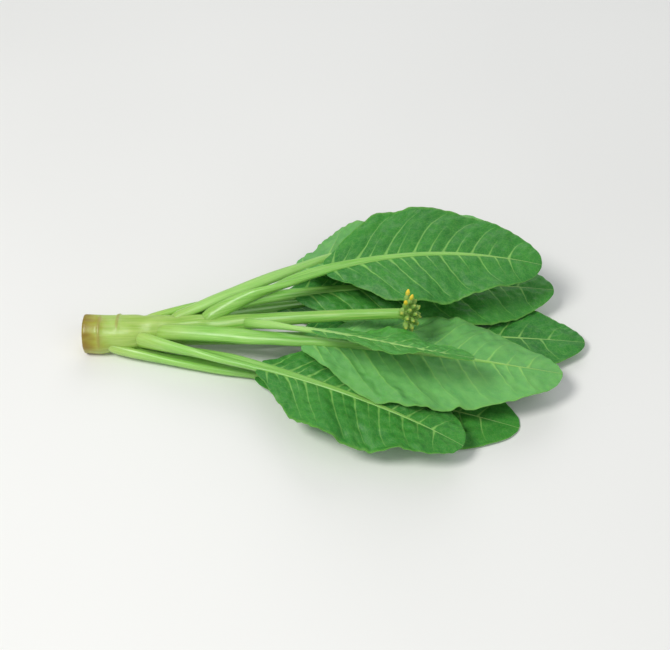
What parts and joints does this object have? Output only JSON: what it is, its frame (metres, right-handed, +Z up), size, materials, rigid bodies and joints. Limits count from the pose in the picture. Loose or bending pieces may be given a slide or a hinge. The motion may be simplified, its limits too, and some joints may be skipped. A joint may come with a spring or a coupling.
{
  "type": "choy sum",
  "caption": "Freshly cut choy sum plant lying on a surface: short thick stem, long pale leaf stalks, green blades and a head of flower buds.",
  "frame": {"origin": "on the surface the plant lies on, in the middle of the flat spot under the stub", "axes": "+X runs from the cut end towards the leaf tips, +Y to the back, +Z up from the surface"},
  "size_m": [0.2781, 0.1801, 0.0563],
  "materials": {
    "stem": "smooth, slightly waxy yellow-green plant stem with faint lengthwise fibres",
    "stalk": "smooth juicy pale green leaf stalk, faintly ribbed lengthwise",
    "blade": "soft green leaf with pale veins, paler underneath",
    "buds": "small closed green buds, some with yellow tips"
  },
  "bodies": {
    "root": {"stem": "stem", "bud_head": "buds", "leaf_1_stalk": "stalk", "leaf_1_blade": "blade", "leaf_2_stalk": "stalk", "leaf_2_blade": "blade", "leaf_3_stalk": "stalk", "leaf_3_blade": "blade", "leaf_4_stalk": "stalk", "leaf_4_blade": "blade", "leaf_5_stalk": "stalk", "leaf_5_blade": "blade", "leaf_6_stalk": "stalk", "leaf_6_blade": "blade", "leaf_7_stalk": "stalk", "leaf_7_blade": "blade", "leaf_8_stalk": "stalk", "leaf_8_blade": "blade", "leaf_9_stalk": "stalk", "leaf_9_blade": "blade"}
  },
  "joints": []
}
